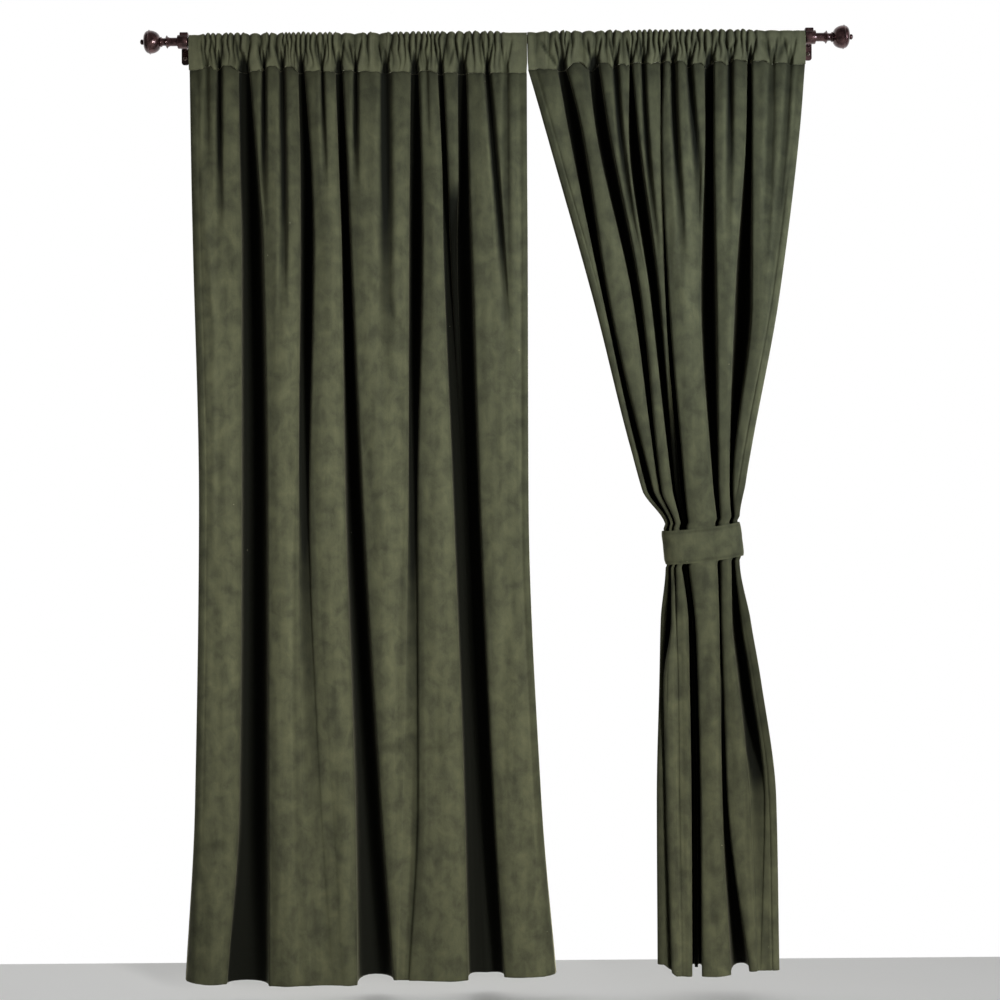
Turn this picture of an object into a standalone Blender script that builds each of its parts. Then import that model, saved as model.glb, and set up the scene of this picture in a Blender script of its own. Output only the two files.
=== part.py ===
"""A pair of velvet rod-pocket curtain panels shirred on one rod, the right one held back by a tie band.

The pieces are placed about the middle of the rod's axis, and the whole is then moved so that the origin is
at the back of the left bracket's wall plate. +X runs along the rod to the right, -Y faces the room, and +Z
is up.
"""

import math
from collections import namedtuple

import bmesh
import bpy
from mathutils import Matrix, Vector

MM = 0.001

# The rod and what is fitted to it
ROD_RADIUS = 9.5 * MM
ROD_WALL = 1.2 * MM
ROD_HALF_LENGTH = 739 * MM
ROD_FROM_WALL = 50 * MM
ROD_ABOVE_PLATE = 11 * MM
FIT_GAP = 0.3 * MM
ROUND_SIDES = 24
FINIAL_SIDES = 18
SCREW_SIDES = 12

# The two wall brackets, seen from the front
BRACKET_OUTER_EDGE = 720.5 * MM
PLATE_WIDTH = 17 * MM
PLATE_HEIGHT = 60 * MM
PLATE_THICK = 3 * MM
PLATE_CORNER = 6 * MM
COLLAR_RADIUS = 15.5 * MM
COLLAR_LENGTH = 23 * MM
ARM_WIDTH = 14 * MM
ARM_HEIGHT = 18 * MM
CAP_WIDTH = 19 * MM
CAP_DEPTH = 18 * MM
CAP_TOP = 20 * MM
CAP_INSET = 5 * MM
SCREW_DROP = 16 * MM
SCREW_SHANK = 2.0 * MM
SCREW_HEAD = 4.5 * MM
SCREW_HEAD_TALL = 2.5 * MM

# The cloth
CLOTH_THICK = 1.6 * MM
FLAP_GAP = 0.4 * MM
LEFT_HEM = -2119 * MM
RIGHT_HEM = -2104 * MM
FOLD_ROUND = 7 * MM
POCKET_CREST = 9 * MM
POCKET_TOP_CREST = 4 * MM
TUCK_DEPTH = 12 * MM
TUCK_REACH = 330 * MM

# Where the folds are seen from: in front of the rod's middle, with the rod's right end a little raised
EYE_DISTANCE = 4000 * MM
EYE_BELOW_ROD = 1041 * MM
LEAN = 0.0075

# The tie band round the right panel
TIE_CENTRE = Vector((457.2 * MM, 0, -1142 * MM))
TIE_HALF_WIDTH = 87 * MM
TIE_HALF_DEPTH = 38 * MM
TIE_ROUNDNESS = 2.5
TIE_HEIGHT = 76 * MM
TIE_THICK = 2.6 * MM
TIE_TILT = math.radians(6.4)
TIE_SIDES = 36
# How far from its middle the band holds the folds alike, and over how far they then follow its tilt
TIE_HOLD = 44 * MM
TIE_FOLLOW = 160 * MM
TIE_EASE = 1.0 * MM

# left, right: where a fold's face starts and ends as seen from the eye, in mm on the rod's plane, by level
# front: how far its face stands in front of the rod's axis; valley: the same for the groove after it
# tucks: the small gathers on the face under the pocket; lift: how far its hem is drawn up
Fold = namedtuple("Fold", "left right front valley tucks lift")
Panel = namedtuple("Panel", "levels rows folds hem turn drop")

LEFT_PANEL = Panel(
    levels=(-71, -453, -1040, -1718, -2119),
    rows=(-71, -105, -160, -230, -330, -453, -620, -820, -1040, -1270, -1500, -1718, -1920, -2060, -2119),
    folds=(
        Fold(
            left=(-701, -694, -680, -689, -710),
            right=(-592, -585, -585, -592, -622),
            front=(9, 40, 45, 45, 45),
            valley=(-7, -38, -38, -30, 8),
            tucks=1,
            lift=0,
        ),
        Fold(
            left=(-565, -538, -527, -527, -527),
            right=(-457, -450, -450, -434, -434),
            front=(9, 40, 45, 55, 65),
            valley=(-7, -25, 25, 48, 60),
            tucks=1,
            lift=0,
        ),
        Fold(
            left=(-441, -418, -423, -418, -420),
            right=(-373, -359, -350, -328, -323),
            front=(9, 38, 42, 52, 62),
            valley=(-7, -38, -38, -38, -35),
            tucks=1,
            lift=0,
        ),
        Fold(
            left=(-355, -337, -310, -271, -240),
            right=(-203, -206, -208, -231, -210),
            front=(9, 38, 38, 25, 0),
            valley=(-7, -30, 10, 8, 5),
            tucks=2,
            lift=0,
        ),
        Fold(
            left=(-183, -174, -185, -185, -199),
            right=(-95, -133, -106, -81, -72),
            front=(9, 38, 40, 42, 30),
            valley=(-7, -38, -40, -40, -42),
            tucks=1,
            lift=0,
        ),
        Fold(
            left=(-75, -66, -45, -16, 7),
            right=(60, 62, 64, 93, 127),
            front=(9, 36, 36, 25, 5),
            valley=None,
            tucks=2,
            lift=0,
        ),
    ),
    hem=LEFT_HEM,
    turn=(8, 12, 12, 14, 50),
    drop=(3, 8, 8, 14, 45),
)

RIGHT_PANEL = Panel(
    levels=(-66, -588, -1018, -1142, -1312, -1718, -2104),
    rows=(
        (-66, -100, -150, -220, -320, -450, -588, -740, -880, -1018, -1060, -1098, -1186)
        + (-1240, -1312, -1430, -1570, -1718, -1850, -1980, -2104)
    ),
    folds=(
        Fold(
            left=(64, 210, 323, 375, 364, 355, 357),
            right=(129, 231, 332, 382, 377, 371, 380),
            front=(9, 42, 20, 8, -5, -8, -10),
            valley=(-7, -43, -43, -33, -41, -43, -43),
            tucks=1,
            lift=22,
        ),
        Fold(
            left=(150, 246, 348, 387, 384, 380, 388),
            right=(199, 298, 359, 392, 393, 400, 407),
            front=(9, 44, 30, 22, -8, 64, 66),
            valley=(-7, -20, -20, -34, -41, 56, 60),
            tucks=1,
            lift=0,
        ),
        Fold(
            left=(224, 319, 366, 398, 400, 407, 414),
            right=(292, 339, 389, 409, 425, 432, 434),
            front=(9, 44, 40, 30, 45, 66, 66),
            valley=(-7, -43, -43, -35, -41, -43, -43),
            tucks=1,
            lift=0,
        ),
        Fold(
            left=(299, 362, 398, 416, 431, 440, 441),
            right=(361, 373, 407, 419, 434, 445, 447),
            front=(9, 34, 5, -5, -10, -12, -15),
            valley=(-5, -10, -43, -35, -41, -43, -43),
            tucks=1,
            lift=0,
        ),
        Fold(
            left=(371, 382, 418, 427, 442, 454, 457),
            right=(461, 454, 481, 490, 495, 502, 522),
            front=(9, 44, 42, 36, 52, 66, 66),
            valley=(-7, -43, -20, -30, -20, -12, -38),
            tucks=2,
            lift=0,
        ),
        Fold(
            left=(484, 490, 495, 499, 501, 513, 549),
            right=(558, 531, 518, 522, 524, 565, 581),
            front=(9, 44, 40, 30, 46, 54, 44),
            valley=(-7, -43, -40, -32, -43, 0, 40),
            tucks=1,
            lift=5,
        ),
        Fold(
            left=(570, 570, 527, 531, 545, 599, 590),
            right=(689, 631, 554, 541, 565, 624, 631),
            front=(9, 36, 28, 10, 20, 35, 30),
            valley=None,
            tucks=2,
            lift=6,
        ),
    ),
    hem=RIGHT_HEM,
    turn=(8, 8, 4, 3, 4, 6, 6),
    drop=(3, 8, 6, 3, 5, 8, 8),
)


def clear_scene():
    for obj in list(bpy.data.objects):
        bpy.data.objects.remove(obj, do_unlink=True)


def linear(channel):
    return channel / 12.92 if channel <= 0.04045 else ((channel + 0.055) / 1.055) ** 2.4


def material(name, hex_colour, roughness, metallic=0.0):
    made = bpy.data.materials.new(name)
    made.use_nodes = True
    shader = made.node_tree.nodes["Principled BSDF"]
    channels = [int(hex_colour[i : i + 2], 16) / 255 for i in (0, 2, 4)]
    shader.inputs["Base Color"].default_value = (*map(linear, channels), 1)
    shader.inputs["Roughness"].default_value = roughness
    shader.inputs["Metallic"].default_value = metallic
    return made


def place(name, mesh, finish):
    """A new object that rides with the rod's middle."""
    obj = bpy.data.objects.new(name, mesh)
    bpy.context.scene.collection.objects.link(obj)
    mesh.materials.append(finish)
    obj.parent = bpy.data.objects["rod_middle"]
    return obj


def to_mesh(name, shape):
    bmesh.ops.recalc_face_normals(shape, faces=shape.faces)
    mesh = bpy.data.meshes.new(name)
    shape.to_mesh(mesh)
    shape.free()
    return mesh


def smooth(mesh, angle=40):
    mesh.shade_smooth()
    mesh.set_sharp_from_angle(angle=math.radians(angle))


def blend(levels, values, z):
    """The value at height z of a smooth run through the falling levels, which it never overshoots."""
    if z >= levels[0]:
        return values[0]
    if z <= levels[-1]:
        return values[-1]
    slopes = [(b - a) / (q - p) for a, b, p, q in zip(values, values[1:], levels, levels[1:])]
    tangents = [slopes[0]]
    for before, after in zip(slopes, slopes[1:]):
        turns = before * after <= 0
        tangents.append(0 if turns else 2 * before * after / (before + after))
    tangents.append(slopes[-1])
    at = next(i for i in range(len(slopes)) if z >= levels[i + 1])
    span = levels[at + 1] - levels[at]
    t = (z - levels[at]) / span
    rise = t * t * (3 - 2 * t)
    out = t * (1 - t) ** 2 * span
    back = -t * t * (1 - t) * span
    middle = values[at] + (values[at + 1] - values[at]) * rise
    return middle + tangents[at] * out + tangents[at + 1] * back


def face_points(left, right, front, tucks, tuck_depth):
    """The points inside a fold's face: a trough for each tuck and a crest between two of them."""
    parts = 2 * tucks
    for step in range(1, parts):
        across = left + (right - left) * step / parts
        yield across, front - (tuck_depth if step % 2 else 0)


def seen_plan(panel, z):
    """The cloth's line in plan at height z, as (seen x, distance in front of the rod's axis), in mm."""
    runs = [[blend(panel.levels, run, z) for run in fold[:3]] for fold in panel.folds]
    valleys = [blend(panel.levels, fold.valley, z) for fold in panel.folds[:-1]]
    turn = blend(panel.levels, panel.turn, z)
    drop = blend(panel.levels, panel.drop, z)
    fade = max(0, 1 + z * MM / TUCK_REACH)
    points = []
    for at, (left, right, front) in enumerate(runs):
        width = right - left
        tuck = TUCK_DEPTH / MM * fade
        before = valleys[at - 1] if at else front - drop
        after = valleys[at] if at < len(valleys) else front - drop
        edge = min(turn, width * 0.4)
        left_round = min(FOLD_ROUND / MM, width * 0.3, max(front - before, 1) * 0.4)
        right_round = min(FOLD_ROUND / MM, width * 0.3, max(front - after, 1) * 0.4)
        points.append((left, front - left_round) if at else (left, before))
        points.append((left + (left_round if at else edge), front))
        points.extend(face_points(left, right, front, panel.folds[at].tucks, tuck))
        last = at == len(valleys)
        points.append((right - (edge if last else right_round), front))
        points.append((right, after) if last else (right, front - right_round))
        if not last:
            gap = runs[at + 1][0] - right
            middle = right + gap / 2
            half = max(2.0, gap * 0.16)
            points.append((middle - half, after))
            points.append((middle + half, after))
    return points


def lifts(panel):
    """How far the hem is drawn up at each point of the plan, in mm."""
    result = []
    for at, fold in enumerate(panel.folds):
        result += [fold.lift] * (4 + 2 * fold.tucks - 1)
        if at < len(panel.folds) - 1:
            result += [(fold.lift + panel.folds[at + 1].lift) / 2] * 2
    return result


def girdle(across):
    """Half the depth that the tie band leaves to the cloth at this distance from its middle."""
    share = min(1, abs(across) / TIE_HALF_WIDTH)
    return TIE_HALF_DEPTH * (1 - share**TIE_ROUNDNESS) ** (1 / TIE_ROUNDNESS)


def held(panel, z_mm):
    """The height whose folds the cloth has at z_mm: the band holds them alike along its own height."""
    hold = TIE_HOLD / MM
    middle = TIE_CENTRE.z / MM
    at = next((i for i, level in enumerate(panel.levels) if abs(level - middle) < hold), None)
    if at is None or not panel.levels[at + 1] < z_mm < panel.levels[at - 1]:
        return z_mm
    if abs(z_mm - middle) <= hold:
        return middle
    edge = middle + math.copysign(hold, z_mm - middle)
    far = panel.levels[at - 1] if z_mm > middle else panel.levels[at + 1]
    return middle + (far - middle) * (z_mm - edge) / (far - edge)


def plan(panel, z_mm):
    """The cloth's middle line in plan at this height, as (x, distance in front of the rod's axis)."""
    lean = LEAN * (z_mm * MM + EYE_BELOW_ROD)
    rise = z_mm * MM - TIE_CENTRE.z
    tied = panel is RIGHT_PANEL and abs(rise) <= TIE_HOLD * 1.01
    result = []
    for seen, front in seen_plan(panel, held(panel, z_mm)):
        depth = front * MM
        across = (seen * MM + lean) * (1 - depth / EYE_DISTANCE)
        if tied:
            room = max(0, girdle(across - TIE_CENTRE.x) - CLOTH_THICK / 2 - TIE_EASE)
            depth = max(-room, min(room, depth))
            across -= rise * math.tan(TIE_TILT)
        result.append((across, depth))
    return result


def tilt(panel, across, z):
    """How much higher the cloth's rows lie at this place, where they follow the tilted band."""
    near = max(0, 1 - max(0, abs(z - TIE_CENTRE.z) - TIE_HOLD) / TIE_FOLLOW)
    return (across - TIE_CENTRE.x) * math.tan(TIE_TILT) * near if panel is RIGHT_PANEL else 0


def behind(line, distance):
    """The line moved back by this distance, measured square to it."""
    result = []
    for at, point in enumerate(line):
        before = Vector(line[max(at - 1, 0)])
        after = Vector(line[min(at + 1, len(line) - 1)])
        here = Vector(point)
        sides = [side.normalized() for side in (here - before, after - here) if side.length > 0]
        squares = [Vector((side.y, -side.x)) for side in sides]
        middle = sum(squares, Vector((0, 0))).normalized()
        reach = distance / max(0.5, middle.dot(squares[0]))
        result.append(here + middle * reach)
    return result


def pocket_rows(panel):
    """The rows of the pocket, from the seam up over the rod and down behind it, as (x, y, z) points."""
    seam_z = panel.rows[0] * MM
    seam = plan(panel, panel.rows[0])
    depths = [depth for _, depth in seam]
    low, high = min(depths), max(depths)
    crests = [(depth - low) / (high - low) for depth in depths]
    # At this radius the chords between points 45 degrees apart still clear the rod
    ring = (ROD_RADIUS + FIT_GAP + CLOTH_THICK / 2) / math.cos(math.radians(22.5))
    flap = behind(seam, CLOTH_THICK + FLAP_GAP)
    rows = []
    for angle in (None, 0, 45, 90, 135, 180, None):
        row = []
        for at, (across, depth) in enumerate(seam):
            crest = crests[at]
            out = ring + POCKET_CREST * crest
            up = ring + POCKET_TOP_CREST * crest
            if angle is None:
                side = 1 if not rows else -1
                start = depth if side == 1 else flap[at][1]
                reach = (side * out + start) / 2
                row.append((across, -reach, seam_z / 2))
            else:
                turn = math.radians(angle)
                row.append((across, -out * math.cos(turn), up * math.sin(turn)))
        rows.append(row)
    rows.append([(across, -depth, seam_z) for across, depth in flap])
    return rows


def hang_panel(name, panel, finish):
    """One piece of cloth from the hem up to the seam, over the rod and back down to the seam."""
    rows = []
    hem_lifts = lifts(panel)
    fall = panel.hem - panel.rows[0] * MM
    for z_mm in reversed(panel.rows):
        share = (z_mm - panel.rows[0]) * MM / fall
        rows.append(
            [
                (across, -depth, z_mm * MM + lift * MM * share**4 + tilt(panel, across, z_mm * MM))
                for (across, depth), lift in zip(plan(panel, z_mm), hem_lifts)
            ]
        )
    rows += pocket_rows(panel)
    shape = bmesh.new()
    bmesh.ops.create_grid(shape, x_segments=len(rows[0]) - 1, y_segments=len(rows) - 1, size=1)
    shape.verts.ensure_lookup_table()
    for at, vert in enumerate(shape.verts):
        row, column = divmod(at, len(rows[0]))
        vert.co = rows[row][column]
    mesh = to_mesh(name, shape)
    smooth(mesh, 60)
    obj = place(name, mesh, finish)
    wall = obj.modifiers.new("cloth", "SOLIDIFY")
    wall.thickness = CLOTH_THICK
    wall.offset = 0
    wall.use_quality_normals = True
    return obj


def tie_band(finish):
    """A sewn velvet band round the gathered cloth, its right side a little higher, joined at the back."""
    shape = bmesh.new()
    loops = []
    for widen in (0, TIE_THICK):
        for height in (-TIE_HEIGHT / 2, TIE_HEIGHT / 2):
            loop = []
            for step in range(TIE_SIDES):
                turn = 2 * math.pi * step / TIE_SIDES
                around = (math.cos(turn), math.sin(turn))
                wave = [math.copysign(abs(v) ** (2 / TIE_ROUNDNESS), v) for v in around]
                across = (TIE_HALF_WIDTH + FIT_GAP + widen) * wave[0]
                depth = (TIE_HALF_DEPTH + FIT_GAP + widen) * wave[1]
                loop.append(shape.verts.new((across, depth, height)))
            loops.append(loop)
    inner_low, inner_high, outer_low, outer_high = loops
    walls = [(inner_low, inner_high), (outer_low, outer_high)]
    rims = [(inner_low, outer_low), (inner_high, outer_high)]
    for one, other in walls + rims:
        for step in range(TIE_SIDES):
            following = (step + 1) % TIE_SIDES
            shape.faces.new((one[step], one[following], other[following], other[step]))
    bmesh.ops.transform(
        shape,
        matrix=Matrix.Translation(TIE_CENTRE) @ Matrix.Rotation(-TIE_TILT, 4, "Y"),
        verts=shape.verts,
    )
    mesh = to_mesh("tieback", shape)
    smooth(mesh)
    return place("tieback", mesh, finish)


def turned(name, profile, axis, sides, finish):
    """A solid turned about an axis, from (distance along it, radius) points."""
    shape = bmesh.new()
    square = axis.orthogonal().normalized()
    verts = [shape.verts.new(axis * along + square * radius) for along, radius in profile]
    edges = [shape.edges.new(pair) for pair in zip(verts, verts[1:])]
    bmesh.ops.spin(
        shape,
        geom=verts + edges,
        cent=(0, 0, 0),
        axis=axis,
        angle=2 * math.pi,
        steps=sides,
        use_merge=True,
    )
    bmesh.ops.remove_doubles(shape, verts=shape.verts, dist=0.01 * MM)
    mesh = to_mesh(name, shape)
    smooth(mesh)
    return place(name, mesh, finish)


def rod(finish):
    """A drawn steel tube, open at both ends for the finials' spigots."""
    end = ROD_HALF_LENGTH
    bore = ROD_RADIUS - ROD_WALL
    profile = [(-end, bore), (-end, ROD_RADIUS), (end, ROD_RADIUS), (end, bore), (-end, bore)]
    return turned("rod", profile, Vector((1, 0, 0)), ROUND_SIDES, finish)


def quarter(centre, along, outward, start_degrees, end_degrees, steps):
    """Points of a quarter ellipse about centre, from one angle to the other, not counting its first."""
    for step in range(1, steps + 1):
        turn = math.radians(start_degrees + (end_degrees - start_degrees) * step / steps)
        yield centre[0] + along * math.cos(turn), centre[1] + outward * math.sin(turn)


def finial(name, side, finish):
    """A turned knob: a spigot in the rod, a sharp ridge, a ringed neck, a ball with a ridge, and a bead."""
    spigot = (ROD_RADIUS - ROD_WALL - FIT_GAP) / MM
    profile = [(-18, 0), (-18, spigot - 1), (-17, spigot), (FIT_GAP / MM, spigot)]
    profile += [(FIT_GAP / MM, 10.3), (3, 10.8), (5.6, 14.5), (8.2, 10.5), (12, 8.6)]
    profile += [(16.5, 8.6), (19, 11.3), (21.6, 9)]
    profile += quarter((44.5, 9.0), 22.9, 16.8, 180, 90, 5)
    profile += [(45.0, 27.2)]
    profile += quarter((45.5, 12.0), 11.5, 13.5, 90, 0, 4)
    profile += [(57.4, 5.5), (58.6, 4.4)]
    profile += quarter((62.2, 0.0), 4.6, 6.2, 130, 0, 4)
    axis = Vector((side, 0, 0))
    outline = [(along * MM, radius * MM) for along, radius in profile]
    obj = turned(name, outline, axis, FINIAL_SIDES, finish)
    obj.location.x = side * ROD_HALF_LENGTH
    return obj


def block(name, size, centre, round_by=0.0, segments=2):
    """A helper block with its upright or level edges rounded, kept out of the render."""
    shape = bmesh.new()
    bmesh.ops.create_cube(shape, size=1)
    bmesh.ops.scale(shape, vec=size, verts=shape.verts)
    if round_by:
        bmesh.ops.bevel(
            shape,
            geom=[edge for edge in shape.edges if abs((edge.verts[0].co - edge.verts[1].co).y) > 0],
            offset=round_by,
            segments=segments,
            profile=0.5,
            affect="EDGES",
            material=-1,
        )
    bmesh.ops.translate(shape, vec=centre, verts=shape.verts)
    return to_mesh(name, shape)


def drum(name, radius, length, centre, axis, rim=0.0):
    """A helper cylinder along an axis, kept out of the render."""
    shape = bmesh.new()
    bmesh.ops.create_cone(
        shape,
        cap_ends=True,
        segments=ROUND_SIDES,
        radius1=radius,
        radius2=radius,
        depth=length,
    )
    if rim:
        flat = [edge for edge in shape.edges if abs(edge.verts[0].co.z - edge.verts[1].co.z) < rim]
        bmesh.ops.bevel(
            shape,
            geom=flat,
            offset=rim,
            segments=1,
            profile=0.5,
            affect="EDGES",
            material=-1,
        )
    turn = Vector((0, 0, 1)).rotation_difference(axis).to_matrix().to_4x4()
    bmesh.ops.transform(shape, matrix=Matrix.Translation(centre) @ turn, verts=shape.verts)
    return to_mesh(name, shape)


def combine(obj, tool_mesh, operation, finish):
    """Adds a helper piece to an object, or cuts it out."""
    tool = place(tool_mesh.name, tool_mesh, finish)
    tool.hide_render = True
    tool.display_type = "WIRE"
    step = obj.modifiers.new(tool_mesh.name, "BOOLEAN")
    step.operation = operation
    step.object = tool
    return step


def bracket(name, side, finish):
    """A cast wall bracket: a plate with a screw hole, an arm, a collar that holds the rod, and its cap."""
    plate_x = side * (BRACKET_OUTER_EDGE - PLATE_WIDTH / 2)
    collar_x = side * (BRACKET_OUTER_EDGE - COLLAR_LENGTH / 2)
    cap_x = side * (BRACKET_OUTER_EDGE - CAP_INSET - CAP_WIDTH / 2)
    plate_centre = (plate_x, ROD_FROM_WALL - PLATE_THICK / 2, -ROD_ABOVE_PLATE)
    along = Vector((1, 0, 0))
    plate = block(name, (PLATE_WIDTH, PLATE_THICK, PLATE_HEIGHT), plate_centre, PLATE_CORNER, 4)
    obj = place(name, plate, finish)
    arm_length = ROD_FROM_WALL - PLATE_THICK / 2
    arm_centre = (plate_x, arm_length / 2, 0)
    arm = block(name + "_arm", (ARM_WIDTH, arm_length, ARM_HEIGHT), arm_centre, 3 * MM, 2)
    collar = drum(name + "_collar", COLLAR_RADIUS, COLLAR_LENGTH, (collar_x, 0, 0), along, 1.5 * MM)
    cap = block(name + "_cap", (CAP_WIDTH, CAP_DEPTH, CAP_TOP), (cap_x, 0, CAP_TOP / 2), 2.5 * MM, 2)
    bore = drum(name + "_bore", ROD_RADIUS + FIT_GAP, 2 * COLLAR_LENGTH, (collar_x, 0, 0), along)
    hole_centre = (plate_x, ROD_FROM_WALL, -ROD_ABOVE_PLATE - SCREW_DROP)
    hole = drum(name + "_hole", SCREW_SHANK + FIT_GAP, 4 * PLATE_THICK, hole_centre, Vector((0, 1, 0)))
    for tool in (arm, collar, cap):
        combine(obj, tool, "UNION", finish)
    for tool in (bore, hole):
        combine(obj, tool, "DIFFERENCE", finish)
    return obj


def wall_screw(name, side, finish):
    """A pan-head screw through the foot of a wall plate, ending at the wall."""
    face = PLATE_THICK + FIT_GAP
    profile = [(FIT_GAP, 0), (FIT_GAP, SCREW_SHANK), (face, SCREW_SHANK), (face, SCREW_HEAD)]
    profile += [(face + SCREW_HEAD_TALL * 0.5, SCREW_HEAD)]
    profile += [(face + SCREW_HEAD_TALL, SCREW_HEAD * 0.6), (face + SCREW_HEAD_TALL, 0)]
    obj = turned(name, profile, Vector((0, -1, 0)), SCREW_SIDES, finish)
    plate_x = side * (BRACKET_OUTER_EDGE - PLATE_WIDTH / 2)
    obj.location = (plate_x, ROD_FROM_WALL, -ROD_ABOVE_PLATE - SCREW_DROP)
    return obj


def build():
    clear_scene()
    middle = bpy.data.objects.new("rod_middle", None)
    bpy.context.scene.collection.objects.link(middle)
    middle.location = (BRACKET_OUTER_EDGE - PLATE_WIDTH / 2, -ROD_FROM_WALL, ROD_ABOVE_PLATE)
    velvet = material("olive_velvet", "5A5A44", 0.9)
    bronze = material("oil_rubbed_bronze", "2E2422", 0.35, 0.9)
    hang_panel("left_panel", LEFT_PANEL, velvet)
    hang_panel("right_panel", RIGHT_PANEL, velvet)
    tie_band(velvet)
    rod(bronze)
    for word, side in (("left", -1), ("right", 1)):
        finial("finial_" + word, side, bronze)
        bracket("bracket_" + word, side, bronze)
        wall_screw("screw_" + word, side, bronze)


build()
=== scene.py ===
"""The looks of a pair of velvet rod-pocket curtain panels on their rod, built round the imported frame.

Lengths are real ones, in metres, or in millimetres in the tables of the folds. What is built stands in
the frame's own place: +X runs along the rod to the right, -Y faces the room, and +Z is up.
"""

import math
from collections import namedtuple

import bmesh
import bpy
from mathutils import Matrix, Vector, noise


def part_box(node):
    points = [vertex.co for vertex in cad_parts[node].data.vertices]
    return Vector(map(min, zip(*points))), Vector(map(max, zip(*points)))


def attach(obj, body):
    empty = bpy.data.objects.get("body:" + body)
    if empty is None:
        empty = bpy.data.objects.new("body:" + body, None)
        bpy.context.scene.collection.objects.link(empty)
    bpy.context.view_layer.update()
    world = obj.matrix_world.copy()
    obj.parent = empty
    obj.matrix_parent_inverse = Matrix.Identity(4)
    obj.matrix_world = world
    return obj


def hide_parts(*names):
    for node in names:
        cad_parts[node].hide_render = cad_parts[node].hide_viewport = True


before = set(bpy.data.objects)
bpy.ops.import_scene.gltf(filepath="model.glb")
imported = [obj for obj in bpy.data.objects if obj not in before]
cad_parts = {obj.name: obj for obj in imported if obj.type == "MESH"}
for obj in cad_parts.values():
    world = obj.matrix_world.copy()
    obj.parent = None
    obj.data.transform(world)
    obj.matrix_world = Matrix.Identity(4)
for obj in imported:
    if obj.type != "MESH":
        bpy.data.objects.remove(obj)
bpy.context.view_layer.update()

# The rod is a drawn steel tube, 19 mm across, with a dark brown oil-rubbed bronze lacquer. It runs through
# the collars of the two wall brackets, and its open ends take the spigots of the finials.
MM = 0.001
ROD_WALL = 1.2 * MM
ROUND_SIDES = 72
MERGE_WITHIN = 0.01 * MM
rod_low, rod_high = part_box("rod")
ROD_MIDDLE = (rod_low + rod_high) / 2
ROD_RADIUS = (rod_high.z - rod_low.z) / 2
ROD_HALF_LENGTH = (rod_high.x - rod_low.x) / 2
RIGHTWARD = Vector((1, 0, 0))


def colour(hex_code):
    """An sRGB hex value as the linear colour that a shader takes."""
    channels = [int(hex_code[at : at + 2], 16) / 255 for at in (0, 2, 4)]
    return (*(c / 12.92 if c <= 0.04045 else ((c + 0.055) / 1.055) ** 2.4 for c in channels), 1)


def add(tree, kind, settings, links=()):
    """Adds a node: settings fill its properties and sockets, and links feed its other sockets."""
    node = tree.nodes.new("ShaderNode" + kind)
    for key, value in settings.items():
        if isinstance(key, str) and hasattr(node, key):
            setattr(node, key, value)
        else:
            node.inputs[key].default_value = value
    for key, source in links:
        tree.links.new(source, node.inputs[key])
    return node


def new_material(name, settings):
    """A material whose shader has these settings: (material, its tree, the shader, Object coordinates)."""
    made = bpy.data.materials.new(name)
    made.use_nodes = True
    tree = made.node_tree
    shader = tree.nodes["Principled BSDF"]
    for key, value in settings.items():
        shader.inputs[key].default_value = value
    return made, tree, shader, add(tree, "TexCoord", {}).outputs["Object"]


def bronze_lacquer():
    """Oil-rubbed bronze lacquer on metal: satin, nearly black brown, warmer where it was rubbed thin."""
    made, tree, shader, place = new_material(
        "oil_rubbed_bronze_lacquer", {"Metallic": 0.7, "Coat Weight": 0.35, "Coat Roughness": 0.12}
    )
    # Rubbing leaves cloudy patches about 12 mm across
    clouds = add(tree, "TexNoise", {"Scale": 1 / 0.012, "Detail": 3.0}, [("Vector", place)]).outputs["Fac"]
    share = add(tree, "MapRange", {"From Min": 0.35, "From Max": 0.7}, [("Value", clouds)])
    # The lacquer's own grain, drawn at 0.9 mm because the real 0.2 mm is too fine to show
    grain = add(tree, "TexNoise", {"Scale": 1 / 0.0009, "Detail": 2.0}, [("Vector", place)])
    browns = {"data_type": "RGBA", 6: colour("33201F"), 7: colour("654846")}
    tint = add(tree, "Mix", browns, [(0, share.outputs[0])])
    gloss = add(tree, "MapRange", {"To Min": 0.2, "To Max": 0.34}, [("Value", clouds)])
    relief = add(tree, "Bump", {"Distance": 0.00008, "Strength": 0.6}, [("Height", grain.outputs["Fac"])])
    tree.links.new(tint.outputs[2], shader.inputs["Base Color"])
    tree.links.new(gloss.outputs[0], shader.inputs["Roughness"])
    tree.links.new(relief.outputs[0], shader.inputs["Normal"])
    return made


def new_piece(name, shape, materials, replaced=(), sharp_angle=35):
    """Makes a piece from a bmesh. It rides with the frame and stands for the CAD nodes that it replaces."""
    mesh = bpy.data.meshes.new(name)
    shape.to_mesh(mesh)
    shape.free()
    for finish in materials:
        mesh.materials.append(finish)
    mesh.shade_smooth()
    if sharp_angle:
        mesh.set_sharp_from_angle(angle=math.radians(sharp_angle))
    piece = bpy.data.objects.new(name, mesh)
    bpy.context.scene.collection.objects.link(piece)
    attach(piece, "root")
    if replaced:
        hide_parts(*replaced)
    return piece


def turn(shape, profile, centre, axis, sides=ROUND_SIDES):
    """Turns a profile of (distance along the axis, radius) points into a closed shell in the bmesh."""
    square = axis.orthogonal().normalized()
    start = set(shape.verts)
    verts = [shape.verts.new(centre + axis * along + square * radius) for along, radius in profile]
    edges = [shape.edges.new(pair) for pair in zip(verts, verts[1:])]
    bmesh.ops.spin(
        shape, geom=verts + edges, cent=centre, axis=axis, angle=2 * math.pi, steps=sides, use_merge=True
    )
    made = [vert for vert in shape.verts if vert not in start]
    bmesh.ops.remove_doubles(shape, verts=made, dist=MERGE_WITHIN)


def facing_out(shape):
    """The bmesh with its faces turned outward."""
    bmesh.ops.recalc_face_normals(shape, faces=shape.faces)
    return shape


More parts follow.
